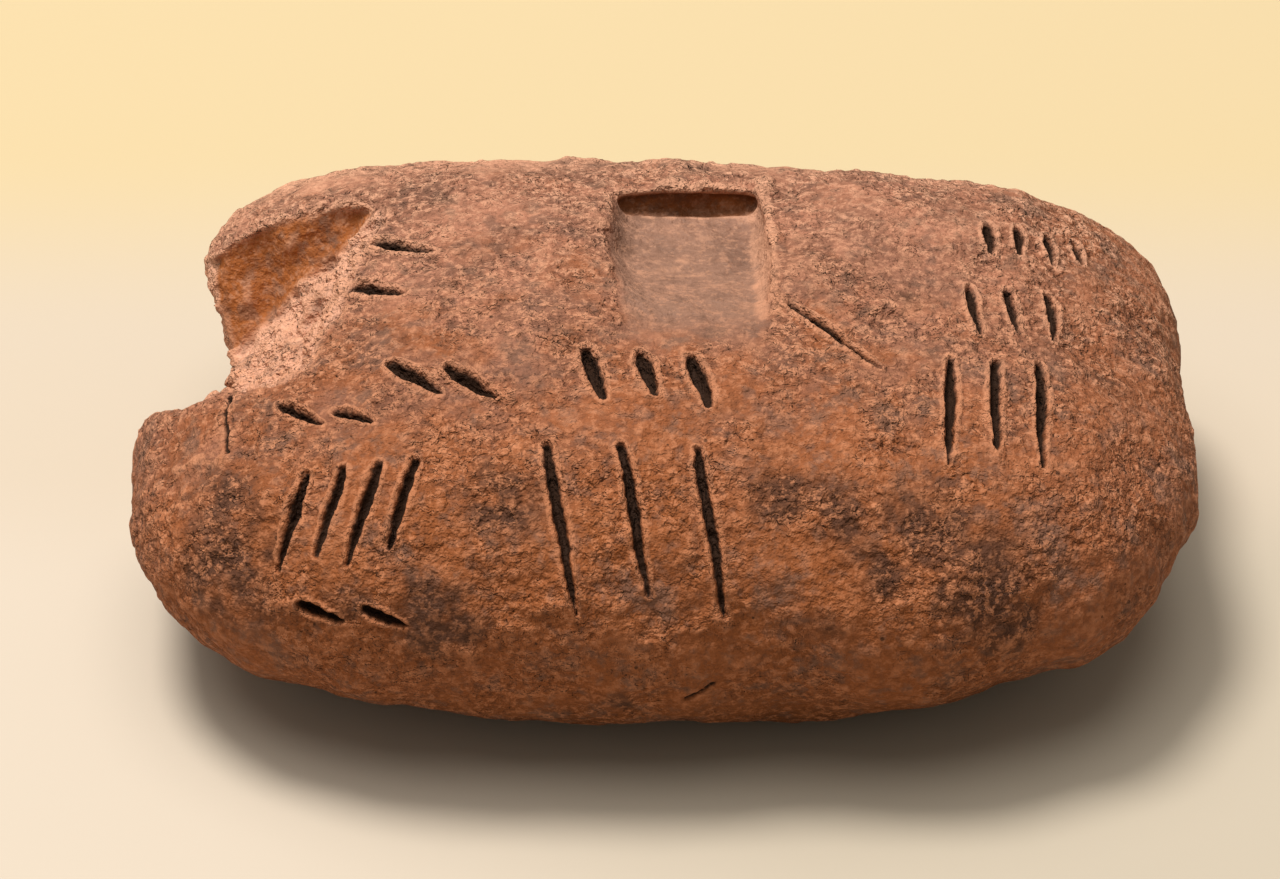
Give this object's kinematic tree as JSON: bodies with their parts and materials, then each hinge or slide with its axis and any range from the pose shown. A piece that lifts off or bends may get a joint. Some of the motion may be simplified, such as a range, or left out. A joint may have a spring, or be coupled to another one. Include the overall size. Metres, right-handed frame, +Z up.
{
  "type": "cuneiform tablet",
  "caption": "Palm-sized clay writing tablet: a cushion-shaped lump with incised strokes, a wide stylus impression and a gouged corner. Lies flat on its underside.",
  "frame": {"origin": "on the resting surface, under the middle of the tablet's box", "axes": "+X along the length, to the reader's right; +Y away from the reader; +Z up, out of the written face"},
  "size_m": [0.05, 0.034, 0.0175],
  "materials": {
    "clay": "matt reddish-brown fired clay, grainy, with dark stains"
  },
  "bodies": {
    "root": {"clay_tablet": "clay"}
  },
  "joints": []
}
